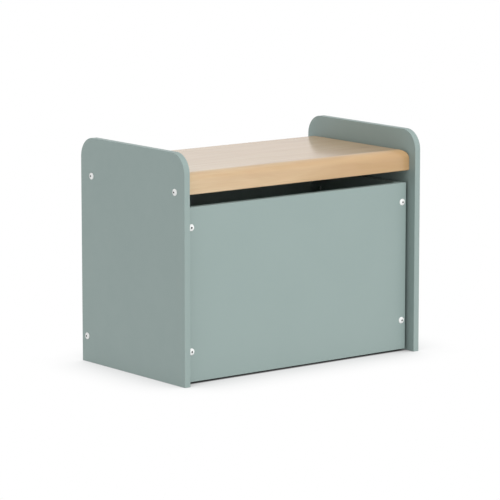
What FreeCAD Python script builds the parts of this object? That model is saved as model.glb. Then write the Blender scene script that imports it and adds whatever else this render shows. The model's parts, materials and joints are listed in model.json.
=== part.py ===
import FreeCAD, Part
import Sketcher
import math
import os
import re

# Child's storage bench: two side panels carry a thick timber seat and a back panel,
# and a separate toy bin on four castors rolls out from under the seat.
# Frame: X to the right, Y to the back, Z up. Origin on the floor, in the middle of the bench.

SIZES = {
    # bench
    "overall_width": 665.0,
    "overall_depth": 385.0,
    "overall_height": 508.0,
    "side_thickness": 15.0,
    "side_corner_radius": 45.0,
    "arm_rise": 45.5,             # side panels above the seat
    "seat_thickness": 47.5,
    "seat_setback": 21.0,         # seat's front face behind the side panels' front edges
    "seat_roundover": 20.0,
    "seat_lower_easing": 3.0,
    "back_thickness": 15.0,
    "back_inset": 12.0,           # back panel inside the side panels' rear edges
    "back_floor_gap": 15.0,
    "back_top_drop": 10.0,        # back panel's top edge below the seat's top
    "board_easing": 1.0,
    # bin
    "finger_gap": 27.0,           # between the bin's rim and the seat
    "bin_side_gap": 7.5,
    "bin_setback": 22.0,
    "bin_rear_gap": 7.0,
    "front_floor_gap": 5.0,
    "front_thickness": 15.0,
    "front_overhang": 4.0,        # bin front past the outer faces of the bin walls
    "wall_thickness": 15.0,
    "rear_thickness": 15.0,
    "wall_floor_gap": 28.0,
    "floor_thickness": 12.0,
    "groove_depth": 5.0,
    "groove_clearance": 0.1,
    "groove_end_gap": 0.5,
    # connector bolts, cross nuts and dowels
    "bolt_diameter": 6.0,
    "bolt_hole_clearance": 0.5,
    "bolt_thread_clearance": 0.05,
    "bolt_past_nut": 6.0,
    "bolt_head_diameter": 15.0,
    "bolt_head_dome": 2.2,
    "bolt_head_rim": 0.8,
    "bolt_socket_width": 4.0,
    "bolt_socket_depth": 2.3,
    "bolt_tip_chamfer": 0.8,
    "nut_diameter": 10.0,
    "nut_length": 12.0,
    "nut_hole_clearance": 0.05,
    "nut_slot_width": 1.4,
    "nut_slot_depth": 1.5,
    "nut_distance": 29.0,         # nut's axis from the end of its board
    "nut_face_distance": 7.5,     # bolt's axis above the seat's underside
    "seat_bolt_edge": 13.5,
    "back_bolt_edge": 120.0,
    "back_end_bolt_edge": 43.5,
    "back_dowel_edge": 60.0,
    "bin_bolt_edge": 44.0,
    "dowel_diameter": 8.0,
    "dowel_length": 30.0,
    "dowel_hole_clearance": 0.05,
    "dowel_end_gap": 0.5,
    "dowel_in_panel": 8.5,        # dowel's length in the board that lies across
    "dowel_chamfer": 1.0,
    "seat_dowel_spacing": 128.0,
    "bin_dowel_spacing": 96.0,
    # castors
    "castor_height": 42.0,
    "castor_edge": 36.0,          # castor's middle from the bin walls' inner faces
    "wheel_diameter": 30.0,
    "wheel_width": 14.0,
    "tyre_thickness": 4.0,
    "tyre_edge_radius": 2.5,
    "hub_boss_diameter": 9.0,
    "hub_rim_thickness": 2.0,
    "hub_recess": 2.5,
    "hub_side_inset": 0.5,
    "hub_side_gap": 0.3,
    "axle_diameter": 5.0,
    "axle_clearance": 0.05,
    "axle_head_diameter": 8.0,
    "axle_head_height": 1.2,
    "fork_gap": 16.0,
    "fork_thickness": 2.0,
    "fork_top_width": 32.0,
    "fork_end_radius": 6.5,
    "plate_width": 40.0,
    "plate_length": 46.0,
    "plate_corner_radius": 4.0,
    "plate_thickness": 2.0,
    "screw_spacing_across": 29.0,
    "screw_spacing_along": 34.0,
    "screw_diameter": 3.5,
    "screw_length": 12.0,
    "screw_head_diameter": 7.0,
    "screw_head_dome": 1.4,
    "screw_head_rim": 0.6,
    "screw_socket_width": 2.5,
    "screw_socket_depth": 1.2,
    "screw_tip_chamfer": 1.2,
    "screw_hole_clearance": 0.05,
}

doc = FreeCAD.newDocument("toy_bench")
sheet = doc.addObject("Spreadsheet::Sheet", "Sizes")
for row, (alias, size) in enumerate(SIZES.items(), start=1):
    sheet.set(f"A{row}", alias)
    sheet.set(f"B{row}", str(size))
    sheet.setAlias(f"B{row}", alias)
doc.recompute()


def expr(text):
    """The text with each size's name turned into a reference to its cell."""
    return re.sub("[a-z_]+", lambda word: "Sizes." + word[0] if word[0] in SIZES else word[0], text)


def value(text):
    return float(sheet.evalExpression(expr(text)))


# Places that several pieces share, measured from the floor, the left edge and the front edge.
INSIDE_WIDTH = "(overall_width - 2 * side_thickness)"
SEAT_UNDERSIDE = "(overall_height - arm_rise - seat_thickness)"
SEAT_DEPTH = "(overall_depth - seat_setback - back_thickness - back_inset)"
BACK_FACE = "(overall_depth - back_inset - back_thickness)"
BACK_HEIGHT = "(overall_height - arm_rise - back_top_drop - back_floor_gap)"
BIN_RIM = f"({SEAT_UNDERSIDE} - finger_gap)"
FRONT_WIDTH = f"({INSIDE_WIDTH} - 2 * bin_side_gap)"
FRONT_HEIGHT = f"({BIN_RIM} - front_floor_gap)"
BIN_WIDTH = f"({FRONT_WIDTH} - 2 * front_overhang)"
WALL_HEIGHT = f"({BIN_RIM} - wall_floor_gap)"
WALL_FRONT = "(bin_setback + front_thickness)"
REAR_FRONT = f"({BACK_FACE} - bin_rear_gap - rear_thickness)"
WALL_LENGTH = f"({REAR_FRONT} - {WALL_FRONT})"
BIN_INSIDE_WIDTH = f"({BIN_WIDTH} - 2 * wall_thickness)"
BIN_LEFT = "(side_thickness + bin_side_gap + front_overhang)"
GROOVE_WIDTH = "(floor_thickness + 2 * groove_clearance)"
BOLT_HOLE = "(bolt_diameter + 2 * bolt_hole_clearance)"
NUT_HOLE = "(nut_diameter + 2 * nut_hole_clearance)"
BOLT_HOLE_DEPTH = "(nut_distance + bolt_past_nut + bolt_hole_clearance)"
DOWEL_HOLE = "(dowel_diameter + 2 * dowel_hole_clearance)"
DOWEL_PANEL_DEPTH = "(dowel_in_panel + dowel_end_gap)"
DOWEL_END_DEPTH = "(dowel_length - dowel_in_panel + dowel_end_gap)"
AXLE_HEIGHT = "(wheel_diameter / 2)"
HUB_DIAMETER = "(wheel_diameter - 2 * tyre_thickness)"

X_AXIS = FreeCAD.Vector(1, 0, 0)
Y_AXIS = FreeCAD.Vector(0, 1, 0)
Z_AXIS = FreeCAD.Vector(0, 0, 1)
sub_parts = []


# ---------------------------------------------------------------- helpers

def place(thing, across, back, up, rotation=None):
    """Places a thing by its distances from the bench's left edge, front edge and the floor."""
    if rotation is not None:
        thing.Placement = FreeCAD.Placement(FreeCAD.Vector(), rotation)
    thing.setExpression("Placement.Base.x", expr(f"{across} - overall_width / 2"))
    thing.setExpression("Placement.Base.y", expr(f"{back} - overall_depth / 2"))
    thing.setExpression("Placement.Base.z", expr(up))


def keep(thing, label):
    thing.Label = label
    sub_parts.append(thing)
    return thing


def new_body(name):
    return doc.addObject("PartDesign::Body", name)


def new_sketch(body, name, plane, offset=None):
    """An empty sketch on one of the body's own origin planes, moved along the plane's normal."""
    sketch = body.newObject("Sketcher::SketchObject", body.Name + "_" + name)
    sketch.AttachmentSupport = [item for item in body.Origin.OriginFeatures if item.Role == plane]
    sketch.MapMode = "FlatFace"
    if offset is not None:
        sketch.setExpression("AttachmentOffset.Base.z", expr(offset))
    return sketch


def bind(sketch, name, text, *constraint):
    """Adds a dimension to a sketch and ties it to the sheet."""
    index = sketch.addConstraint(Sketcher.Constraint(*constraint, value(text)))
    sketch.renameConstraint(index, name)
    sketch.setExpression("Constraints." + name, expr(text))


def add_outline(sketch, points):
    """A closed outline of straight lines through points near their final places."""
    first = sketch.GeometryCount
    corners = [FreeCAD.Vector(x, y, 0) for x, y in points]
    for start, end in zip(corners, corners[1:] + corners[:1]):
        sketch.addGeometry(Part.LineSegment(start, end), False)
    last = first + len(points) - 1
    for line in range(first, last):
        sketch.addConstraint(Sketcher.Constraint("Coincident", line, 2, line + 1, 1))
    sketch.addConstraint(Sketcher.Constraint("Coincident", last, 2, first, 1))
    return first


def add_rectangle(sketch, width, height, left=None, low=None):
    """A rectangle whose lower left corner is at the origin, or at the distances left and low."""
    x, y, w, h = value(left or "0"), value(low or "0"), value(width), value(height)
    first = add_outline(sketch, [(x, y), (x + w, y), (x + w, y + h), (x, y + h)])
    for line, direction in enumerate(("Horizontal", "Vertical", "Horizontal", "Vertical"), start=first):
        sketch.addConstraint(Sketcher.Constraint(direction, line))
    bind(sketch, f"width{first}", width, "DistanceX", first, 1, first, 2)
    bind(sketch, f"height{first}", height, "DistanceY", first + 1, 1, first + 1, 2)
    if left is None:
        sketch.addConstraint(Sketcher.Constraint("PointOnObject", first, 1, -2))
    else:
        bind(sketch, f"left{first}", left, "DistanceX", -1, 1, first, 1)
    if low is None:
        sketch.addConstraint(Sketcher.Constraint("PointOnObject", first, 1, -1))
    else:
        bind(sketch, f"low{first}", low, "DistanceY", -1, 1, first, 1)


def add_circle(sketch, diameter, centre=None):
    """A circle at the sketch's origin, or at a centre given as two distances."""
    x, y = (value(centre[0]), value(centre[1])) if centre else (0.0, 0.0)
    circle = sketch.addGeometry(Part.Circle(FreeCAD.Vector(x, y, 0), Z_AXIS, value(diameter) / 2), False)
    bind(sketch, f"diameter{circle}", diameter, "Diameter", circle)
    if centre:
        if centre[0] == "0":
            sketch.addConstraint(Sketcher.Constraint("PointOnObject", circle, 3, -2))
        else:
            bind(sketch, f"across{circle}", centre[0], "DistanceX", -1, 1, circle, 3)
        bind(sketch, f"up{circle}", centre[1], "DistanceY", -1, 1, circle, 3)
    else:
        sketch.addConstraint(Sketcher.Constraint("Coincident", circle, 3, -1, 1))


def pad(body, sketch, length, symmetric=False):
    feature = body.newObject("PartDesign::Pad", sketch.Name + "_pad")
    feature.Profile = sketch
    feature.setExpression("Length", expr(length))
    if symmetric:
        feature.SideType = "Symmetric"
    return feature


PLANE_OF = {"X": ("YZ_Plane", "{}"), "Y": ("XZ_Plane", "-1 * {}"), "Z": ("XY_Plane", "{}")}
AGAINST_SKETCH = ("+X", "-Y", "+Z")


def cut(body, name, direction, start, depth, draw):
    """Cuts what draw puts in a sketch, from the distance start along an axis, in a direction such as +X."""
    plane, offset = PLANE_OF[direction[1]]
    sketch = new_sketch(body, name, plane, offset.format(start))
    draw(sketch)
    pocket = body.newObject("PartDesign::Pocket", sketch.Name + "_pocket")
    pocket.Profile = sketch
    pocket.Reversed = direction in AGAINST_SKETCH
    pocket.setExpression("Length", expr(depth))
    return pocket


def drill(body, name, direction, start, depth, diameter, centres):
    """Round holes, each centre given as two distances in the plane across the direction."""
    def draw(sketch):
        for centre in centres:
            add_circle(sketch, diameter, centre)
    return cut(body, name, direction, start, depth, draw)


def groove(body, name, direction, start, length, height, left, low):
    """A straight groove as deep as every groove of the bin."""
    def draw(sketch):
        add_rectangle(sketch, length, height, left, low)
    return cut(body, name, direction, start, "groove_depth", draw)


def fillet(body, radius, wanted):
    """Rounds the edges of the body's last feature that pass the test wanted."""
    doc.recompute()
    base = body.Tip
    names = [f"Edge{number}" for number, edge in enumerate(base.Shape.Edges, start=1) if wanted(edge)]
    feature = body.newObject("PartDesign::Fillet", body.Name + "_" + radius)
    feature.Base = (base, names)
    feature.setExpression("Radius", expr(radius))
    return feature


def any_edge(edge):
    return True


def board(name, width, depth, height):
    """A rectangular board with eased edges, its low left front corner at its own origin."""
    body = new_body(name)
    sketch = new_sketch(body, "outline", "XY_Plane")
    add_rectangle(sketch, width, depth)
    pad(body, sketch, height)
    fillet(body, "board_easing", any_edge)
    return body


# ---------------------------------------------------------------- fasteners

def headed_fastener(name, kind, length):
    """A domed screw along its own Z, with the top of the dome at its origin.
    kind is bolt or screw, and length is what lies below the head."""
    body = new_body(name)
    sketch = new_sketch(body, "section", "XZ_Plane")
    head_radius, shank_radius = f"{kind}_head_diameter / 2", f"{kind}_diameter / 2"
    dome, rim, chamfer = f"{kind}_head_dome", f"{kind}_head_rim", f"{kind}_tip_chamfer"
    tip = f"{dome} + {rim} + {length}"
    outer, inner, seat = value(head_radius), value(shank_radius), value(f"{dome} + {rim}")
    bevel, end = value(chamfer), value(tip)
    corners = [(outer, value(dome)), (outer, seat), (inner, seat), (inner, end - bevel),
               (inner - bevel, end), (0, end), (0, 0)]
    points = [FreeCAD.Vector(x, y, 0) for x, y in corners]
    for start, stop in zip(points, points[1:]):
        sketch.addGeometry(Part.LineSegment(start, stop), False)
    bulge = (outer ** 2 + value(dome) ** 2) / (2 * value(dome))
    half_angle = math.asin(outer / bulge)
    middle = FreeCAD.Vector(bulge * math.sin(half_angle / 2), bulge - bulge * math.cos(half_angle / 2), 0)
    arc = sketch.addGeometry(Part.Arc(points[-1], middle, points[0]), False)
    last = len(points) - 2
    for line in range(last):
        sketch.addConstraint(Sketcher.Constraint("Coincident", line, 2, line + 1, 1))
    for line in (0, 2, 5):
        sketch.addConstraint(Sketcher.Constraint("Vertical", line))
    for line in (1, 4):
        sketch.addConstraint(Sketcher.Constraint("Horizontal", line))
    dome_arc = sketch.Geometry[arc]
    top_end, rim_end = (1, 2) if dome_arc.StartPoint.x < dome_arc.EndPoint.x else (2, 1)
    sketch.addConstraint(Sketcher.Constraint("Coincident", arc, top_end, last, 2))
    sketch.addConstraint(Sketcher.Constraint("Coincident", arc, rim_end, 0, 1))
    sketch.addConstraint(Sketcher.Constraint("PointOnObject", arc, 3, -2))
    sketch.addConstraint(Sketcher.Constraint("Coincident", last, 2, -1, 1))
    bind(sketch, "head_radius", head_radius, "DistanceX", -1, 1, 0, 1)
    bind(sketch, "dome", dome, "DistanceY", -1, 1, 0, 1)
    bind(sketch, "rim", rim, "DistanceY", 0, 1, 0, 2)
    bind(sketch, "shank_radius", shank_radius, "DistanceX", -1, 1, 2, 1)
    bind(sketch, "chamfer_in", chamfer, "DistanceX", 3, 2, 3, 1)
    bind(sketch, "chamfer_up", chamfer, "DistanceY", 3, 1, 3, 2)
    bind(sketch, "tip", tip, "DistanceY", -1, 1, 4, 2)
    revolution = body.newObject("PartDesign::Revolution", name + "_turned")
    revolution.Profile = sketch
    revolution.ReferenceAxis = (sketch, ["V_Axis"])
    revolution.Angle = 360.0
    socket = body.newObject("PartDesign::SubtractivePrism", name + "_socket")
    socket.Polygon = 6
    socket.setExpression("Circumradius", expr(f"{kind}_socket_width / sqrt(3)"))
    socket.setExpression("Height", expr(f"{kind}_socket_depth"))
    return body


def cross_nut(name):
    """A barrel nut along its own Z, threaded along X, with its screwdriver slot on top."""
    body = new_body(name)
    sketch = new_sketch(body, "round", "XY_Plane")
    add_circle(sketch, "nut_diameter")
    pad(body, sketch, "nut_length", symmetric=True)
    bore = new_sketch(body, "bore", "YZ_Plane")
    add_circle(bore, "bolt_diameter + 2 * bolt_thread_clearance")
    pocket = body.newObject("PartDesign::Pocket", name + "_bore_pocket")
    pocket.Profile = bore
    pocket.SideType = "Symmetric"
    pocket.setExpression("Length", expr("2 * nut_diameter"))
    slot = body.newObject("PartDesign::SubtractiveBox", name + "_slot")
    slot.setExpression("Length", expr("2 * nut_diameter"))
    slot.setExpression("Width", expr("nut_slot_width"))
    slot.setExpression("Height", expr("nut_length"))
    slot.setExpression("Placement.Base.x", expr("-1 * nut_diameter"))
    slot.setExpression("Placement.Base.y", expr("-1 * nut_slot_width / 2"))
    slot.setExpression("Placement.Base.z", expr("nut_length / 2 - nut_slot_depth"))
    return body


def dowel(name):
    """A plain wooden dowel along its own Z, starting at its origin."""
    body = new_body(name)
    sketch = new_sketch(body, "round", "XY_Plane")
    add_circle(sketch, "dowel_diameter")
    pad(body, sketch, "dowel_length")
    doc.recompute()
    chamfer = body.newObject("PartDesign::Chamfer", name + "_ends")
    rims = [f"Edge{number}" for number, edge in enumerate(body.Shape.Edges, start=1)
            if isinstance(edge.Curve, Part.Circle)]
    chamfer.Base = (body.getObject(sketch.Name + "_pad"), rims)
    chamfer.setExpression("Size", expr("dowel_chamfer"))
    return body


def group(label, template, spots):
    """Copies of a fastener in one sub-part. A spot is three distances and a rotation."""
    copies = []
    for number, (across, back, up, rotation) in enumerate(spots, start=1):
        copy = doc.addObject("App::Link", f"{label}_{number}")
        copy.LinkedObject = template
        place(copy, across, back, up, rotation)
        copies.append(copy)
    compound = doc.addObject("Part::Compound", label)
    compound.Links = copies
    return keep(compound, label)


def axes(x_direction, z_direction):
    """The rotation that turns a thing's own X and Z to the given directions."""
    return FreeCAD.Rotation(x_direction, z_direction.cross(x_direction), z_direction, "ZXY")


POINTS_RIGHT = axes(-Z_AXIS, X_AXIS)
POINTS_LEFT = axes(Z_AXIS, -X_AXIS)
POINTS_BACK = axes(X_AXIS, Y_AXIS)
POINTS_FRONT = axes(-X_AXIS, -Y_AXIS)
POINTS_UP = axes(X_AXIS, Z_AXIS)

BOLT_HEAD = "(bolt_head_dome + bolt_head_rim)"
SCREW_HEAD = "(screw_head_dome + screw_head_rim)"


# ---------------------------------------------------------------- bench

SEAT_BOLT_HEIGHT = f"({SEAT_UNDERSIDE} + nut_face_distance)"
BACK_MIDDLE = f"({BACK_FACE} + back_thickness / 2)"
BACK_BOLT_HEIGHT = "(back_floor_gap + back_end_bolt_edge)"
SIDE_BOLTS = [("seat_setback + seat_bolt_edge", SEAT_BOLT_HEIGHT),
              (f"{BACK_FACE} - seat_bolt_edge", SEAT_BOLT_HEIGHT),
              (BACK_MIDDLE, BACK_BOLT_HEIGHT)]
SEAT_DOWEL_PLACES = [(f"seat_setback + {SEAT_DEPTH} / 2 {sign} seat_dowel_spacing / 2",
                      f"{SEAT_UNDERSIDE} + seat_thickness / 2") for sign in "-+"]
BACK_DOWEL_HEIGHTS = [f"({BACK_HEIGHT} / 2)", f"({BACK_HEIGHT} - back_dowel_edge)"]
BACK_DOWEL_PLACES = [(BACK_MIDDLE, f"back_floor_gap + {height}") for height in BACK_DOWEL_HEIGHTS]
FROM_ENDS = ["{}", f"{INSIDE_WIDTH} - {{}}"]


def draw_side_outline(sketch):
    """The side panel's outline: square at the floor, with both upper corners round."""
    depth, height, radius = value("overall_depth"), value("overall_height"), value("side_corner_radius")
    corners = [(0, height - radius), (0, 0), (depth, 0), (depth, height - radius)]
    points = [FreeCAD.Vector(x, y, 0) for x, y in corners]
    for start, end in zip(points, points[1:]):
        sketch.addGeometry(Part.LineSegment(start, end), False)
    shoulders = [FreeCAD.Vector(depth - radius, height, 0), FreeCAD.Vector(radius, height, 0)]
    top = sketch.addGeometry(Part.LineSegment(*shoulders), False)
    arcs = []
    for centre_x, turn in ((depth - radius, 0), (radius, 1)):
        circle = Part.Circle(FreeCAD.Vector(centre_x, height - radius, 0), Z_AXIS, radius)
        quarter = Part.ArcOfCircle(circle, turn * math.pi / 2, (turn + 1) * math.pi / 2)
        arcs.append(sketch.addGeometry(quarter, False))
    rear_arc, front_arc = arcs
    front, floor, rear = 0, 1, 2
    for line in (front, rear):
        sketch.addConstraint(Sketcher.Constraint("Vertical", line))
    for line in (floor, top):
        sketch.addConstraint(Sketcher.Constraint("Horizontal", line))
    sketch.addConstraint(Sketcher.Constraint("Coincident", front, 2, floor, 1))
    sketch.addConstraint(Sketcher.Constraint("Coincident", floor, 2, rear, 1))
    sketch.addConstraint(Sketcher.Constraint("Coincident", floor, 1, -1, 1))
    for line, line_end, arc, arc_end in ((rear, 2, rear_arc, 1), (top, 1, rear_arc, 2),
                                         (top, 2, front_arc, 1), (front, 1, front_arc, 2)):
        sketch.addConstraint(Sketcher.Constraint("Tangent", line, line_end, arc, arc_end))
    bind(sketch, "depth", "overall_depth", "DistanceX", floor, 1, floor, 2)
    bind(sketch, "height", "overall_height", "DistanceY", floor, 1, top, 1)
    bind(sketch, "rear_radius", "side_corner_radius", "Radius", rear_arc)
    bind(sketch, "front_radius", "side_corner_radius", "Radius", front_arc)


def side_panel(label, left_edge, inner_face, outward):
    body = new_body(label)
    sketch = new_sketch(body, "outline", "YZ_Plane")
    draw_side_outline(sketch)
    pad(body, sketch, "side_thickness")
    fillet(body, "board_easing", lambda edge: edge.BoundBox.XLength < 0.01)
    drill(body, "bolt_holes", "+X", "0", "side_thickness", BOLT_HOLE, SIDE_BOLTS)
    drill(body, "dowel_holes", outward, inner_face, DOWEL_PANEL_DEPTH, DOWEL_HOLE,
          SEAT_DOWEL_PLACES + BACK_DOWEL_PLACES)
    place(body, left_edge, "0", "0")
    return keep(body, label)


def seat_board():
    body = new_body("seat_board")
    sketch = new_sketch(body, "outline", "XY_Plane")
    add_rectangle(sketch, INSIDE_WIDTH, SEAT_DEPTH)
    pad(body, sketch, "seat_thickness")
    top = value("seat_thickness")
    fillet(body, "seat_roundover", lambda edge: edge.BoundBox.ZMin > top - 0.01)
    fillet(body, "seat_lower_easing", lambda edge: edge.BoundBox.ZMax < 0.01)
    end_bolts = [(back, "nut_face_distance") for back in ("seat_bolt_edge", f"{SEAT_DEPTH} - seat_bolt_edge")]
    end_dowels = [(f"{SEAT_DEPTH} / 2 {sign} seat_dowel_spacing / 2", "seat_thickness / 2")
                  for sign in "-+"]
    for side, direction, start in (("left", "+X", "0"), ("right", "-X", INSIDE_WIDTH)):
        drill(body, side + "_bolt_holes", direction, start, BOLT_HOLE_DEPTH, BOLT_HOLE, end_bolts)
        drill(body, side + "_dowel_holes", direction, start, DOWEL_END_DEPTH, DOWEL_HOLE, end_dowels)
    rear_bolts = [(end.format("back_bolt_edge"), "nut_face_distance") for end in FROM_ENDS]
    drill(body, "rear_bolt_holes", "-Y", SEAT_DEPTH, BOLT_HOLE_DEPTH, BOLT_HOLE, rear_bolts)
    end_nuts = [(end.format("nut_distance"), bolt[0]) for end in FROM_ENDS for bolt in end_bolts]
    rear_nuts = [(bolt[0], f"{SEAT_DEPTH} - nut_distance") for bolt in rear_bolts]
    drill(body, "nut_holes", "+Z", "0", "nut_face_distance + nut_length / 2", NUT_HOLE,
          end_nuts + rear_nuts)
    place(body, "side_thickness", "seat_setback", SEAT_UNDERSIDE)
    return keep(body, "seat_board")


def back_panel():
    body = board("back_panel", INSIDE_WIDTH, "back_thickness", BACK_HEIGHT)
    middle = "back_thickness / 2"
    dowels = [(middle, height) for height in BACK_DOWEL_HEIGHTS]
    for side, direction, start in (("left", "+X", "0"), ("right", "-X", INSIDE_WIDTH)):
        drill(body, side + "_bolt_hole", direction, start, BOLT_HOLE_DEPTH, BOLT_HOLE,
              [(middle, "back_end_bolt_edge")])
        drill(body, side + "_dowel_holes", direction, start, DOWEL_END_DEPTH, DOWEL_HOLE, dowels)
    nuts = [(end.format("nut_distance"), "back_end_bolt_edge") for end in FROM_ENDS]
    drill(body, "nut_holes", "+Y", "0", "back_thickness / 2 + nut_length / 2", NUT_HOLE, nuts)
    seat_bolts = [(end.format("back_bolt_edge"), f"{SEAT_BOLT_HEIGHT} - back_floor_gap")
                  for end in FROM_ENDS]
    drill(body, "seat_bolt_holes", "+Y", "0", "back_thickness", BOLT_HOLE, seat_bolts)
    place(body, "side_thickness", BACK_FACE, "back_floor_gap")
    return keep(body, "back_panel")


def bench_fasteners():
    side_bolt = headed_fastener("side_bolt", "bolt", "side_thickness + nut_distance + bolt_past_nut")
    back_bolt = headed_fastener("back_bolt", "bolt", "back_thickness + nut_distance + bolt_past_nut")
    nut = cross_nut("bench_nut")
    peg = dowel("bench_dowel")
    from_left, from_right = "side_thickness + {}", "overall_width - side_thickness - {}"
    group("left_side_bolts", side_bolt,
          [(f"-1 * {BOLT_HEAD}", back, up, POINTS_RIGHT) for back, up in SIDE_BOLTS])
    group("right_side_bolts", side_bolt,
          [(f"overall_width + {BOLT_HEAD}", back, up, POINTS_LEFT) for back, up in SIDE_BOLTS])
    group("back_bolts", back_bolt,
          [(end.format("back_bolt_edge"), f"{BACK_FACE} + back_thickness + {BOLT_HEAD}",
            SEAT_BOLT_HEIGHT, POINTS_FRONT) for end in (from_left, from_right)])
    end_nuts = [(end.format("nut_distance"), back, up, axes(X_AXIS, -Z_AXIS))
                for end in (from_left, from_right) for back, up in SIDE_BOLTS[:2]]
    rear_nuts = [(end.format("back_bolt_edge"), f"{BACK_FACE} - nut_distance",
                  SEAT_BOLT_HEIGHT, axes(Y_AXIS, -Z_AXIS)) for end in (from_left, from_right)]
    group("seat_nuts", nut, end_nuts + rear_nuts)
    group("back_panel_nuts", nut,
          [(end.format("nut_distance"), BACK_MIDDLE, BACK_BOLT_HEIGHT, axes(X_AXIS, -Y_AXIS))
           for end in (from_left, from_right)])
    for label, places in (("seat_dowels", SEAT_DOWEL_PLACES), ("back_panel_dowels", BACK_DOWEL_PLACES)):
        group(label, peg, [(end.format("-1 * dowel_in_panel"), back, up, points)
                           for end, points in ((from_left, POINTS_RIGHT), (from_right, POINTS_LEFT))
                           for back, up in places])


# ---------------------------------------------------------------- bin

BOLT_LEVELS = ["bin_bolt_edge", f"({WALL_HEIGHT} - bin_bolt_edge)"]
DOWEL_LEVELS = [f"({WALL_HEIGHT} / 2 {sign} bin_dowel_spacing / 2)" for sign in "-+"]
GROOVE_LEVEL = "(castor_height - wall_floor_gap)"
WALL_MIDDLES = ["wall_thickness / 2", f"{BIN_WIDTH} - wall_thickness / 2"]
GROOVE_LENGTH = f"({BIN_INSIDE_WIDTH} + 2 * groove_depth)"


def across_board(label, width, height, thickness, overhang, wall_offset, inner_face, inward):
    """The bin's front or rear: bolted and dowelled onto the ends of both walls, with a stopped
    groove for the floor. overhang is how far it passes the walls' outer faces."""
    body = board(label, width, thickness, height)
    middles = [f"{overhang} + {middle}" for middle in WALL_MIDDLES]
    bolts = [(across, f"{wall_offset} + {level}") for across in middles for level in BOLT_LEVELS]
    dowels = [(across, f"{wall_offset} + {level}") for across in middles for level in DOWEL_LEVELS]
    drill(body, "bolt_holes", "+Y", "0", thickness, BOLT_HOLE, bolts)
    drill(body, "dowel_holes", inward, inner_face, DOWEL_PANEL_DEPTH, DOWEL_HOLE, dowels)
    groove(body, "groove", inward, inner_face, GROOVE_LENGTH, GROOVE_WIDTH,
           f"{overhang} + wall_thickness - groove_depth", f"{wall_offset} + {GROOVE_LEVEL}")
    return keep(body, label)


def bin_wall(label, left_edge, inner_face, outward):
    body = board(label, "wall_thickness", WALL_LENGTH, WALL_HEIGHT)
    middle = "wall_thickness / 2"
    for end, direction, start in (("front", "+Y", "0"), ("rear", "-Y", WALL_LENGTH)):
        drill(body, end + "_bolt_holes", direction, start, BOLT_HOLE_DEPTH, BOLT_HOLE,
              [(middle, level) for level in BOLT_LEVELS])
        drill(body, end + "_dowel_holes", direction, start, DOWEL_END_DEPTH, DOWEL_HOLE,
              [(middle, level) for level in DOWEL_LEVELS])
    nuts = [(end, level) for end in ("nut_distance", f"{WALL_LENGTH} - nut_distance")
            for level in BOLT_LEVELS]
    drill(body, "nut_holes", outward, inner_face, "wall_thickness / 2 + nut_length / 2", NUT_HOLE, nuts)
    groove(body, "groove", outward, inner_face, WALL_LENGTH, GROOVE_WIDTH, None, GROOVE_LEVEL)
    place(body, left_edge, WALL_FRONT, "wall_floor_gap")
    return keep(body, label)


CASTOR_ENDS = {"left": f"{BIN_LEFT} + wall_thickness + castor_edge",
               "right": f"{BIN_LEFT} + {BIN_WIDTH} - wall_thickness - castor_edge"}
CASTOR_ROWS = {"front": f"{WALL_FRONT} + castor_edge", "rear": f"{REAR_FRONT} - castor_edge"}
SCREW_PLACES = [(f"{x_sign}1 * screw_spacing_across / 2", f"{y_sign}1 * screw_spacing_along / 2")
                for x_sign in ("-", "") for y_sign in ("-", "")]
FLOOR_LEFT = f"({BIN_LEFT} + wall_thickness - groove_depth + groove_end_gap)"
FLOOR_FRONT = f"({WALL_FRONT} - groove_depth + groove_end_gap)"


def bin_floor():
    reach = "2 * (groove_depth - groove_end_gap)"
    width, depth = f"{BIN_INSIDE_WIDTH} + {reach}", f"{WALL_LENGTH} + {reach}"
    body = board("bin_floor", width, depth, "floor_thickness")
    screws = [(f"{across} - {FLOOR_LEFT} + {x}", f"{back} - {FLOOR_FRONT} + {y}")
              for across in CASTOR_ENDS.values() for back in CASTOR_ROWS.values() for x, y in SCREW_PLACES]
    drill(body, "screw_holes", "+Z", "0", "screw_length - plate_thickness + screw_hole_clearance",
          "screw_diameter + 2 * screw_hole_clearance", screws)
    place(body, FLOOR_LEFT, FLOOR_FRONT, "castor_height")
    return keep(body, "bin_floor")


def bin_boards():
    front = across_board("bin_front_panel", FRONT_WIDTH, FRONT_HEIGHT, "front_thickness",
                         "front_overhang", "(wall_floor_gap - front_floor_gap)", "front_thickness", "-Y")
    place(front, "side_thickness + bin_side_gap", "bin_setback", "front_floor_gap")
    rear = across_board("bin_rear_wall", BIN_WIDTH, WALL_HEIGHT, "rear_thickness", "0", "0", "0", "+Y")
    place(rear, BIN_LEFT, REAR_FRONT, "wall_floor_gap")
    bin_wall("bin_left_wall", BIN_LEFT, "wall_thickness", "-X")
    bin_wall("bin_right_wall", f"{BIN_LEFT} + {BIN_WIDTH} - wall_thickness", "0", "+X")
    bin_floor()


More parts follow.
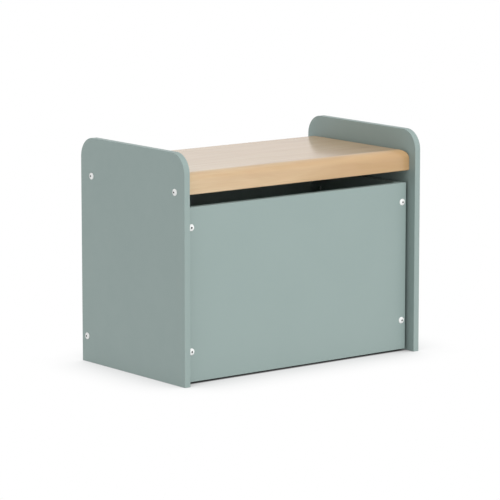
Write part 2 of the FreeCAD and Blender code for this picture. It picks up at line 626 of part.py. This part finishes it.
def bin_fasteners():
    middles = [f"{BIN_LEFT} + {middle}" for middle in WALL_MIDDLES]
    nut = cross_nut("bin_nut")
    peg = dowel("bin_dowel")
    nuts, dowels = [], []
    for end, thickness, face, head_side, points, sign in (
            ("front", "front_thickness", WALL_FRONT, "-", POINTS_BACK, "+"),
            ("rear", "rear_thickness", REAR_FRONT, "+", POINTS_FRONT, "-")):
        bolt = headed_fastener(f"bin_{end}_bolt", "bolt", f"{thickness} + nut_distance + bolt_past_nut")
        head_top = f"{face} {head_side} ({thickness} + {BOLT_HEAD})"
        group(f"bin_{end}_bolts", bolt,
              [(across, head_top, f"wall_floor_gap + {level}", points)
               for across in middles for level in BOLT_LEVELS])
        nut_place = f"{face} {sign} nut_distance"
        nuts += [(across, nut_place, f"wall_floor_gap + {level}", axes(Y_AXIS, inward))
                 for across, inward in zip(middles, (X_AXIS, -X_AXIS)) for level in BOLT_LEVELS]
        dowels += [(across, f"{face} {head_side} dowel_in_panel", f"wall_floor_gap + {level}", points)
                   for across in middles for level in DOWEL_LEVELS]
    group("bin_wall_nuts", nut, nuts)
    group("bin_dowels", peg, dowels)


# ---------------------------------------------------------------- castors

def mirrored(body, feature):
    """Repeats a feature on the other side of the body's YZ plane."""
    mirror = body.newObject("PartDesign::Mirrored", feature.Name + "_mirrored")
    mirror.Originals = [feature]
    plane = [item for item in body.Origin.OriginFeatures if item.Role == "YZ_Plane"][0]
    mirror.MirrorPlane = (plane, [""])
    body.Tip = mirror


def draw_fork_leg(sketch):
    """One leg of the castor's fork: wide at the plate, round about the axle."""
    half, top = value("fork_top_width / 2"), value("castor_height - plate_thickness")
    radius, low = value("fork_end_radius"), value(AXLE_HEIGHT)
    reach = math.hypot(half, top - low)
    angle = math.atan2(top - low, half) - math.acos(radius / reach)
    circle = Part.Circle(FreeCAD.Vector(0, low, 0), Z_AXIS, radius)
    arc = sketch.addGeometry(Part.ArcOfCircle(circle, math.pi - angle, 2 * math.pi + angle), False)
    side = FreeCAD.Vector(radius * math.cos(angle), low + radius * math.sin(angle), 0)
    corners = [side, FreeCAD.Vector(half, top, 0), FreeCAD.Vector(-half, top, 0),
               FreeCAD.Vector(-side.x, side.y, 0)]
    right, upper, left = [sketch.addGeometry(Part.LineSegment(start, end), False)
                          for start, end in zip(corners, corners[1:])]
    sketch.addConstraint(Sketcher.Constraint("Tangent", arc, 2, right, 1))
    sketch.addConstraint(Sketcher.Constraint("Coincident", right, 2, upper, 1))
    sketch.addConstraint(Sketcher.Constraint("Coincident", upper, 2, left, 1))
    sketch.addConstraint(Sketcher.Constraint("Tangent", left, 2, arc, 1))
    sketch.addConstraint(Sketcher.Constraint("PointOnObject", arc, 3, -2))
    sketch.addConstraint(Sketcher.Constraint("Symmetric", upper, 1, upper, 2, -2))
    bind(sketch, "axle_height", AXLE_HEIGHT, "DistanceY", -1, 1, arc, 3)
    bind(sketch, "end_radius", "fork_end_radius", "Radius", arc)
    bind(sketch, "top_width", "fork_top_width", "DistanceX", upper, 2, upper, 1)
    bind(sketch, "top_height", "castor_height - plate_thickness", "DistanceY", -1, 1, upper, 1)


def castor_bracket(label, across, back):
    body = new_body(label)
    plate = new_sketch(body, "plate", "XY_Plane", "castor_height - plate_thickness")
    add_rectangle(plate, "plate_width", "plate_length", "-1 * plate_width / 2", "-1 * plate_length / 2")
    pad(body, plate, "plate_thickness")
    fillet(body, "plate_corner_radius", lambda edge: edge.BoundBox.ZLength > value("plate_thickness") / 2)
    leg = new_sketch(body, "leg", "YZ_Plane", "fork_gap / 2")
    draw_fork_leg(leg)
    mirrored(body, pad(body, leg, "fork_thickness"))
    drill(body, "axle_hole", "-X", "fork_gap / 2 + fork_thickness", "fork_gap + 2 * fork_thickness",
          "axle_diameter", [("0", AXLE_HEIGHT)])
    drill(body, "screw_holes", "-Z", "castor_height", "plate_thickness",
          "screw_diameter + 2 * screw_hole_clearance", SCREW_PLACES)
    place(body, across, back, "0")
    return keep(body, label)


def round_bar(body, name, diameter, length, inner_diameter=None):
    """A disc or ring about the body's X axis, the same each side of its middle."""
    sketch = new_sketch(body, name, "YZ_Plane")
    add_circle(sketch, diameter)
    if inner_diameter is not None:
        add_circle(sketch, inner_diameter)
    return pad(body, sketch, length, symmetric=True)


def castor_axle(label, across, back):
    body = new_body(label)
    round_bar(body, "pin", "axle_diameter", "fork_gap + 2 * fork_thickness + 2 * axle_head_height")
    head = new_sketch(body, "head", "YZ_Plane", "fork_gap / 2 + fork_thickness")
    add_circle(head, "axle_head_diameter")
    mirrored(body, pad(body, head, "axle_head_height"))
    place(body, across, back, AXLE_HEIGHT)
    return keep(body, label)


def wheel_hub(label, across, back):
    body = new_body(label)
    width = "(wheel_width - 2 * hub_side_inset)"
    round_bar(body, "rim", HUB_DIAMETER, width)

    def draw_recess(sketch):
        add_circle(sketch, f"{HUB_DIAMETER} - 2 * hub_rim_thickness")
        add_circle(sketch, "hub_boss_diameter")
    cut(body, "right_recess", "-X", f"{width} / 2", "hub_recess", draw_recess)
    cut(body, "left_recess", "+X", f"-1 * {width} / 2", "hub_recess", draw_recess)
    round_bar(body, "boss", "hub_boss_diameter", "fork_gap - 2 * hub_side_gap")
    cut(body, "bore", "-X", "fork_gap / 2", "fork_gap",
        lambda sketch: add_circle(sketch, "axle_diameter + 2 * axle_clearance"))
    place(body, across, back, AXLE_HEIGHT)
    return keep(body, label)


def wheel_tyre(label, across, back):
    body = new_body(label)
    round_bar(body, "ring", "wheel_diameter", "wheel_width", HUB_DIAMETER)
    tread = value("wheel_diameter / 2")
    fillet(body, "tyre_edge_radius",
           lambda edge: isinstance(edge.Curve, Part.Circle) and edge.Curve.Radius > tread - 0.01)
    place(body, across, back, AXLE_HEIGHT)
    return keep(body, label)


def castors():
    screw = headed_fastener("castor_screw", "screw", "screw_length")
    head_top = f"castor_height - plate_thickness - {SCREW_HEAD}"
    for row, back in CASTOR_ROWS.items():
        for end, across in CASTOR_ENDS.items():
            corner = f"{row}_{end}"
            castor_bracket(corner + "_castor_bracket", across, back)
            castor_axle(corner + "_castor_axle", across, back)
            wheel_hub(corner + "_wheel_hub", across, back)
            wheel_tyre(corner + "_wheel_tyre", across, back)
            group(corner + "_castor_screws", screw,
                  [(f"{across} + {x}", f"{back} + {y}", head_top, POINTS_UP) for x, y in SCREW_PLACES])


# ---------------------------------------------------------------- build, check and write

side_panel("left_side_panel", "0", "side_thickness", "-X")
side_panel("right_side_panel", "overall_width - side_thickness", "0", "+X")
seat_board()
back_panel()
bench_fasteners()
bin_boards()
bin_fasteners()
castors()
doc.recompute()

for item in doc.Objects:
    if "Invalid" in item.State or "Error" in item.State:
        raise RuntimeError(f"{item.Name} did not rebuild: {item.State}")
    if item.TypeId == "PartDesign::Pocket" and item.Shape.Volume > item.BaseFeature.Shape.Volume - 0.1:
        raise RuntimeError(f"{item.Name} cuts nothing")
for sub_part in sub_parts:
    if sub_part.Shape.isNull() or not sub_part.Shape.isValid():
        raise RuntimeError(f"{sub_part.Label} has no valid shape")

os.makedirs("parts", exist_ok=True)
for sub_part in sub_parts:
    sub_part.Shape.exportStep(f"parts/{sub_part.Label}.step")
print(len(sub_parts), "sub-parts written")
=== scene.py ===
import json
import math

import bpy
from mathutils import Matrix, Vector

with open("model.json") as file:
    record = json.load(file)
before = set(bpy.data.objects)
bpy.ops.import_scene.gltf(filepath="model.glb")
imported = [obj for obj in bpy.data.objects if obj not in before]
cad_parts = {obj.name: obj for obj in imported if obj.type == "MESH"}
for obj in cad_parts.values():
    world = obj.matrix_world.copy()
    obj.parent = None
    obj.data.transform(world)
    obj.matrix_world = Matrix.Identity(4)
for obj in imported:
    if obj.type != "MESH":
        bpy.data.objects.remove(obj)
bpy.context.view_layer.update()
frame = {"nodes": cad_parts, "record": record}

# Colours are linear RGB.
SAGE_DEEP = (0.2065, 0.266, 0.2535)
SAGE_LIGHT = (0.2125, 0.272, 0.2595)
SAGE_SPECK = (0.29, 0.36, 0.34)
SAGE_EDGE_HIGHLIGHT = (0.33, 0.40, 0.38)
TIMBER_RING = (0.40, 0.265, 0.135)
TIMBER_PORE = (0.33, 0.21, 0.10)
TIMBER_BLUSH = (0.50, 0.30, 0.19)
TIMBER_DARK_STAVE = (0.37, 0.24, 0.12)
TIMBER_KNOT = (0.20, 0.11, 0.045)
SOCKET_SHADE = (0.012, 0.012, 0.013)

# The seat's staves are this wide, and are counted from a line in front of the bench.
STAVE_WIDTH = 0.0565
STAVE_START = 0.4
# Half the length over which the seat turns from pale on the left to a darker amber on the right, which is
# painted shade.
RIGHT_SHADE_HALF_LENGTH = 0.24
# The knot's centre and half size, in metres along and across the seat.
KNOT_ALONG = 0.266
KNOT_ACROSS = -0.077
KNOT_HALF_ALONG = 0.016
KNOT_HALF_ACROSS = 0.011

FLOOR_HALF = 30.0
FLOOR_SHADOW_REACH = 0.17

# The surroundings' brightness up to 9 degrees above the horizon, from 21 degrees up, and in reflections.
HORIZON_STRENGTH = 2.12
SKY_STRENGTH = 0.735
REFLECTED_STRENGTH = 0.87
GLOW_FULL_BELOW = math.radians(9)
GLOW_NONE_ABOVE = math.radians(21)
LAMP_SIZE = 3.2
LAMP_ENERGY = 535.0
LAMP_ELEVATION = math.radians(50)
LAMP_DISTANCE = 9.0
LAMP_AIM = (0, 0, 0.25)

# The camera as the fit to the photo's edges gave it.
CAMERA_LENS_MM = 226.97
CAMERA_SENSOR_MM = 36.0
CAMERA_PLACE = (-4.30672, -5.52752, 1.41829)
CAMERA_TURN = math.radians(37.889)
CAMERA_TILT = math.radians(9.528)

nodes = frame["nodes"]
slot_of = {entry["node"]: entry["material_slot"] for entry in frame["record"]["subparts"]}


# ---------------------------------------------------------------- material helpers

def grey(value):
    return (value, value, value)


def set_range(node, low, high, from_low, from_high):
    """Writes the four limits of a Map Range node."""
    limits = {"From Min": from_low, "From Max": from_high, "To Min": low, "To Max": high}
    for name, limit in limits.items():
        node.inputs[name].default_value = limit


class Nodes:
    """A short way to write a material's node tree."""

    def __init__(self, name):
        self.material = bpy.data.materials.new(name)
        self.material.use_nodes = True
        self.tree = self.material.node_tree
        self.shader = self.tree.nodes["Principled BSDF"]

    def add(self, kind, **settings):
        node = self.tree.nodes.new(kind)
        for name, setting in settings.items():
            setattr(node, name, setting)
        return node

    def link(self, source, target):
        self.tree.links.new(source, target)

    def drive(self, socket, source):
        """Links a value that varies over the surface to one of the shader's sockets."""
        self.link(source, self.shader.inputs[socket])

    def set(self, **sockets):
        """Uniform values, written on the shader's own sockets."""
        for name, setting in sockets.items():
            self.shader.inputs[name.replace("_", " ")].default_value = setting

    def place(self, scale=(1, 1, 1), move=(0, 0, 0)):
        """Object coordinates in metres, stretched and moved."""
        coordinates = self.add("ShaderNodeTexCoord")
        return self.stretch(coordinates.outputs["Object"], scale, move)

    def stretch(self, vector, scale, move=(0, 0, 0)):
        mapping = self.add("ShaderNodeMapping")
        mapping.inputs["Scale"].default_value = scale
        mapping.inputs["Location"].default_value = move
        self.link(vector, mapping.inputs["Vector"])
        return mapping.outputs["Vector"]

    def noise(self, vector, scale, detail=2.0, roughness=0.5, distortion=0.0):
        node = self.add("ShaderNodeTexNoise")
        node.inputs["Scale"].default_value = scale
        node.inputs["Detail"].default_value = detail
        node.inputs["Roughness"].default_value = roughness
        node.inputs["Distortion"].default_value = distortion
        self.link(vector, node.inputs["Vector"])
        return node.outputs["Fac"]

    def between(self, factor, low, high, from_low=0.0, from_high=1.0):
        node = self.add("ShaderNodeMapRange")
        set_range(node, low, high, from_low, from_high)
        self.link(factor, node.inputs["Value"])
        return node.outputs["Result"]

    def ramp(self, factor, stops):
        """A colour ramp through stops, which are pairs of position and colour."""
        node = self.add("ShaderNodeValToRGB")
        elements = node.color_ramp.elements
        for element, (position, color) in zip(elements, (stops[0], stops[-1])):
            element.position = position
            element.color = (*color, 1)
        for position, color in stops[1:-1]:
            elements.new(position).color = (*color, 1)
        self.link(factor, node.inputs["Fac"])
        return node.outputs["Color"]

    def mix(self, factor, first, second):
        """A colour mix. Each of the three may be a socket or a constant."""
        node = self.add("ShaderNodeMix", data_type="RGBA")
        for socket, given in zip((0, 6, 7), (factor, first, second)):
            if hasattr(given, "is_linked"):
                self.link(given, node.inputs[socket])
            else:
                node.inputs[socket].default_value = given if socket == 0 else (*given, 1)
        return node.outputs[2]

    def math(self, operation, first, second):
        node = self.add("ShaderNodeMath", operation=operation)
        for socket, given in enumerate((first, second)):
            if hasattr(given, "is_linked"):
                self.link(given, node.inputs[socket])
            else:
                node.inputs[socket].default_value = given
        return node.outputs["Value"]

    def bump(self, height, distance, strength, below=None):
        node = self.add("ShaderNodeBump")
        node.inputs["Strength"].default_value = strength
        node.inputs["Distance"].default_value = distance
        self.link(height, node.inputs["Height"])
        if below is not None:
            self.link(below, node.inputs["Normal"])
        return node.outputs["Normal"]

    def edges(self, radius):
        """About 1 on sharp edges and 0 on flat faces, from the difference a rounded normal makes."""
        bevel = self.add("ShaderNodeBevel", samples=4)
        bevel.inputs["Radius"].default_value = radius
        geometry = self.add("ShaderNodeNewGeometry")
        dot = self.add("ShaderNodeVectorMath", operation="DOT_PRODUCT")
        self.link(bevel.outputs["Normal"], dot.inputs[0])
        self.link(geometry.outputs["Normal"], dot.inputs[1])
        return self.between(dot.outputs["Value"], 1.0, 0.0, from_low=0.75, from_high=0.99)

    def openness(self, distance, own_mesh_only):
        """1 in the open, and less where a surface nearer than the distance shades it."""
        node = self.add("ShaderNodeAmbientOcclusion", samples=16, only_local=own_mesh_only)
        node.inputs["Distance"].default_value = distance
        return node.outputs["AO"]


# ---------------------------------------------------------------- materials

def painted_board():
    """Satin sage paint on a smooth board: a fine stipple, pale specks, a painted highlight along the edges,
    and a cloudy gloss.
    """
    n = Nodes("sage_paint")
    where = n.place()
    cloud = n.noise(where, scale=7.0, detail=3.0)
    speck = n.between(n.noise(where, scale=900.0), 0.0, 0.06, from_low=0.3, from_high=0.7)
    paint = n.mix(speck, n.ramp(cloud, [(0.3, SAGE_DEEP), (0.7, SAGE_LIGHT)]), SAGE_SPECK)
    # Painted highlight: the boards' edges are mixed towards a paler sage.
    edge_highlight = n.math("MULTIPLY", n.edges(radius=0.0012), 0.22)
    n.drive("Base Color", n.mix(edge_highlight, paint, SAGE_EDGE_HIGHLIGHT))
    gloss = n.noise(where, scale=38.0, detail=4.0)
    n.drive("Roughness", n.between(gloss, 0.40, 0.50, from_low=0.3, from_high=0.7))
    stipple = n.bump(n.noise(where, scale=650.0, detail=3.0, roughness=0.6), distance=0.00012, strength=0.35)
    n.drive("Normal", n.bump(n.noise(where, scale=60.0), distance=0.0004, strength=0.12, below=stipple))
    n.set(Specular_IOR_Level=0.45)
    return n.material


def knot(n):
    """A small knot near the seat's right end: a dark rim round a paler middle, drawn out along the grain."""
    ragged = n.noise(n.place(), scale=150.0)
    reach = n.add("ShaderNodeVectorMath", operation="LENGTH")
    scale = (1 / KNOT_HALF_ALONG, 1 / KNOT_HALF_ACROSS, 0)
    move = (-KNOT_ALONG / KNOT_HALF_ALONG, -KNOT_ACROSS / KNOT_HALF_ACROSS, 0)
    n.link(n.place(scale, move), reach.inputs[0])
    ring = n.math("ADD", reach.outputs["Value"], n.between(ragged, -0.5, 0.5))
    return n.ramp(ring, [(0.0, grey(0.9)), (0.3, grey(0.55)), (0.5, grey(0.8)), (1.0, grey(0.0))])


def seat_timber():
    """Pale straight-grained timber in glued staves along the seat, under clear satin lacquer; painted shade
    turns it a darker amber towards the right end.
    """
    n = Nodes("seat_timber")
    where = n.place()
    separate = n.add("ShaderNodeSeparateXYZ")
    n.link(where, separate.inputs["Vector"])
    across = n.math("ADD", separate.outputs["Y"], STAVE_START)
    stave = n.math("FLOOR", n.math("DIVIDE", across, STAVE_WIDTH), 0.0)

    # Each stave shows another part of the same grain.
    shift = n.add("ShaderNodeCombineXYZ")
    n.link(n.math("MULTIPLY", stave, 3.7), shift.inputs["X"])
    n.link(n.math("MULTIPLY", stave, 0.83), shift.inputs["Z"])
    moved = n.add("ShaderNodeVectorMath", operation="ADD")
    n.link(where, moved.inputs[0])
    n.link(shift.outputs["Vector"], moved.inputs[1])
    grain_space = n.stretch(moved.outputs["Vector"], scale=(1.0, 9.0, 9.0))
    broad = n.noise(grain_space, scale=4.2, detail=3.0, distortion=0.6)
    rings = n.add("ShaderNodeTexWave", wave_type="BANDS", bands_direction="Y")
    wave_settings = {"Scale": 3.2, "Distortion": 5.5, "Detail": 3.0, "Detail Scale": 1.1}
    for name, setting in wave_settings.items():
        rings.inputs[name].default_value = setting
    n.link(grain_space, rings.inputs["Vector"])
    pores = n.noise(n.place(scale=(6, 420, 420)), scale=1.0, detail=3.0, roughness=0.65)

    pale = n.ramp(broad, [(0.25, (0.416, 0.291, 0.166)),
                          (0.5, (0.471, 0.350, 0.213)),
                          (0.78, (0.515, 0.395, 0.251))])
    # Painted shade: a darker amber copy of the timber, for the seat's right end.
    shaded_amber = n.ramp(broad, [(0.25, (0.356, 0.216, 0.094)),
                           (0.5, (0.394, 0.253, 0.121)),
                           (0.78, (0.434, 0.291, 0.148))])
    # Painted shade: the seat is mixed towards the darker amber copy towards its right end.
    right_end_shade = n.between(separate.outputs["X"], 0.0, 1.0,
                          from_low=-RIGHT_SHADE_HALF_LENGTH, from_high=RIGHT_SHADE_HALF_LENGTH)
    color = n.mix(right_end_shade, pale, shaded_amber)
    color = n.mix(n.math("MULTIPLY", rings.outputs["Fac"], 0.20), color, TIMBER_RING)
    color = n.mix(n.between(pores, 0.0, 0.18, from_low=0.42, from_high=0.72), color, TIMBER_PORE)
    blush = n.noise(n.place(scale=(0.6, 0.6, 0.6)), scale=30.0, detail=0.0)
    color = n.mix(n.between(blush, 0.0, 0.10, from_low=0.4, from_high=0.7), color, TIMBER_BLUSH)
    stave_tone = n.add("ShaderNodeTexWhiteNoise", noise_dimensions="1D")
    n.link(stave, stave_tone.inputs["W"])
    color = n.mix(n.between(stave_tone.outputs["Value"], 0.0, 0.14), color, TIMBER_DARK_STAVE)
    color = n.mix(n.math("MULTIPLY", knot(n), 0.6), color, TIMBER_KNOT)
    n.drive("Base Color", color)
    n.drive("Roughness", n.between(pores, 0.30, 0.42, from_low=0.3, from_high=0.7))
    n.drive("Normal", n.bump(pores, distance=0.00010, strength=0.25))
    n.set(Specular_IOR_Level=0.3, Coat_Weight=0.8, Coat_Roughness=0.13, Coat_IOR=1.5)
    return n.material


def white_bolt():
    """White enamel on the domed heads, with near-black painted shade down in the hexagon sockets."""
    n = Nodes("white_bolt")
    where = n.place()
    enamel = n.ramp(n.noise(where, scale=300.0), [(0.3, (0.63, 0.64, 0.63)), (0.7, (0.67, 0.68, 0.67))])
    # Painted shade: where the head's own occlusion is strong, down in the sockets, the enamel turns
    # near-black.
    depth = n.openness(distance=0.004, own_mesh_only=True)
    socket = n.between(depth, 1.0, 0.0, from_low=0.66, from_high=0.97)
    n.drive("Base Color", n.mix(socket, enamel, SOCKET_SHADE))
    n.drive("Roughness", n.between(n.noise(where, scale=500.0, detail=3.0), 0.20, 0.30))
    n.drive("Normal", n.bump(n.noise(where, scale=900.0), distance=0.00005, strength=0.3))
    return n.material


def zinc_steel():
    """Bright zinc on pressed steel, with the plating's cloudy patches and fine rolling lines."""
    n = Nodes("zinc_steel")
    patches = n.noise(n.place(), scale=160.0, detail=4.0, roughness=0.6, distortion=0.5)
    lines = n.noise(n.place(scale=(60, 60, 2500)), scale=1.0)
    n.drive("Base Color", n.ramp(patches, [(0.3, (0.50, 0.51, 0.53)), (0.7, (0.66, 0.67, 0.69))]))
    n.drive("Roughness", n.between(n.mix(0.5, patches, lines), 0.24, 0.42, from_low=0.3, from_high=0.7))
    n.drive("Normal", n.bump(lines, distance=0.00004, strength=0.25))
    n.set(Metallic=1.0)
    return n.material


def dowel_wood():
    """Plain sanded beech. The grain runs along X, as the bench's dowels do; the bin's lie across it."""
    n = Nodes("dowel_beech")
    grain = n.noise(n.place(scale=(40, 700, 700)), scale=1.0, detail=3.0, roughness=0.6)
    n.drive("Base Color", n.ramp(grain, [(0.3, (0.52, 0.35, 0.19)), (0.7, (0.66, 0.48, 0.29))]))
    n.drive("Roughness", n.between(grain, 0.5, 0.7))
    n.drive("Normal", n.bump(grain, distance=0.0001, strength=0.3))
    return n.material


def hub_plastic():
    """Moulded off-white nylon, slightly translucent."""
    n = Nodes("hub_nylon")
    where = n.place()
    tone = n.noise(where, scale=120.0, detail=3.0)
    n.drive("Base Color", n.ramp(tone, [(0.3, (0.60, 0.60, 0.58)), (0.7, (0.66, 0.66, 0.64))]))
    n.drive("Roughness", n.between(n.noise(where, scale=400.0, detail=3.0), 0.38, 0.52))
    n.drive("Normal", n.bump(n.noise(where, scale=1800.0), distance=0.00005, strength=0.3))
    n.set(Subsurface_Weight=0.08, Subsurface_Scale=0.001)
    return n.material


def grey_tyre():
    """Soft grey tread, with dusty patches."""
    n = Nodes("grey_tyre")
    where = n.place()
    dust = n.noise(where, scale=90.0, detail=5.0, roughness=0.6)
    n.drive("Base Color", n.ramp(dust, [(0.35, (0.045, 0.045, 0.048)), (0.75, (0.10, 0.098, 0.095))]))
    n.drive("Roughness", n.between(dust, 0.55, 0.78))
    n.drive("Normal", n.bump(n.noise(where, scale=1400.0, detail=3.0), distance=0.00008, strength=0.5))
    return n.material


MAKERS = {
    "painted_board": painted_board,
    "seat_timber": seat_timber,
    "white_bolt": white_bolt,
    "zinc_steel": zinc_steel,
    "dowel_wood": dowel_wood,
    "hub_plastic": hub_plastic,
    "grey_tyre": grey_tyre,
}
materials = {slot: make() for slot, make in MAKERS.items()}

for name, thing in nodes.items():
    thing.data.materials.clear()
    thing.data.materials.append(materials[slot_of[name]])


# ---------------------------------------------------------------- studio

def studio_floor():
    """A large white floor that glows evenly, with a painted contact shadow: its glow dims only close to what
    stands on it.
    """
    corners = [(-FLOOR_HALF, -FLOOR_HALF, 0), (FLOOR_HALF, -FLOOR_HALF, 0),
               (FLOOR_HALF, FLOOR_HALF, 0), (-FLOOR_HALF, FLOOR_HALF, 0)]
    mesh = bpy.data.meshes.new("studio_floor")
    mesh.from_pydata(corners, [], [(0, 1, 2, 3)])
    floor = bpy.data.objects.new("studio_floor", mesh)
    bpy.context.scene.collection.objects.link(floor)
    n = Nodes("studio_floor")
    n.set(Base_Color=(0, 0, 0, 1), Roughness=1.0, Specular_IOR_Level=0.0, Emission_Strength=1.0)
    # Painted contact shadow: the floor's glow dims near whatever stands on it.
    painted_contact_shadow = n.ramp(n.openness(FLOOR_SHADOW_REACH, own_mesh_only=False),
                     [(0.05, grey(0.0)),
                      (0.3, grey(0.38)),
                      (0.5, (0.74, 0.75, 0.75)),
                      (0.72, (0.92, 0.925, 0.925)),
                      (0.92, grey(1.0))])
    n.drive("Emission Color", painted_contact_shadow)
    mesh.materials.append(n.material)


def studio_surroundings():
    """White all round, brightest along the horizon. Reflections see one even white instead."""
    world = bpy.data.worlds.new("studio")
    world.use_nodes = True
    tree = world.node_tree
    background = tree.nodes["Background"]
    background.inputs["Color"].default_value = (1.0, 1.0, 1.0, 1)
    direction = tree.nodes.new("ShaderNodeTexCoord")
    height = tree.nodes.new("ShaderNodeSeparateXYZ")
    tree.links.new(direction.outputs["Generated"], height.inputs["Vector"])
    glow = tree.nodes.new("ShaderNodeMapRange")
    glow.interpolation_type = "SMOOTHSTEP"
    set_range(glow, HORIZON_STRENGTH, SKY_STRENGTH, math.sin(GLOW_FULL_BELOW), math.sin(GLOW_NONE_ABOVE))
    tree.links.new(height.outputs["Z"], glow.inputs["Value"])
    rays = tree.nodes.new("ShaderNodeLightPath")
    strength = tree.nodes.new("ShaderNodeMix")
    strength.inputs["B"].default_value = REFLECTED_STRENGTH
    tree.links.new(rays.outputs["Is Glossy Ray"], strength.inputs["Factor"])
    tree.links.new(glow.outputs["Result"], strength.inputs["A"])
    tree.links.new(strength.outputs["Result"], background.inputs["Strength"])
    bpy.context.scene.world = world


def studio_lamp():
    """A large soft lamp high in front of the bench, left out of reflections."""
    light = bpy.data.lights.new("key", "AREA")
    light.shape = "DISK"
    light.size = LAMP_SIZE
    light.energy = LAMP_ENERGY
    lamp = bpy.data.objects.new("key", light)
    lamp.visible_glossy = False
    bpy.context.scene.collection.objects.link(lamp)
    away = Vector((0, -math.cos(LAMP_ELEVATION), math.sin(LAMP_ELEVATION)))
    lamp.location = Vector(LAMP_AIM) + away * LAMP_DISTANCE
    lamp.rotation_mode = "QUATERNION"
    lamp.rotation_quaternion = away.to_track_quat("Z", "Y")


def camera():
    """A long lens about 7 m from the bench and 1.4 m up, to its front left, tilted down and not shifted."""
    data = bpy.data.cameras.new("camera")
    data.sensor_width = CAMERA_SENSOR_MM
    data.lens = CAMERA_LENS_MM
    eye = bpy.data.objects.new("camera", data)
    bpy.context.scene.collection.objects.link(eye)
    eye.location = CAMERA_PLACE
    eye.rotation_euler = (math.pi / 2 - CAMERA_TILT, 0, -CAMERA_TURN)
    bpy.context.scene.camera = eye


studio_floor()
studio_surroundings()
studio_lamp()
camera()
bpy.context.scene.view_settings.view_transform = "Standard"
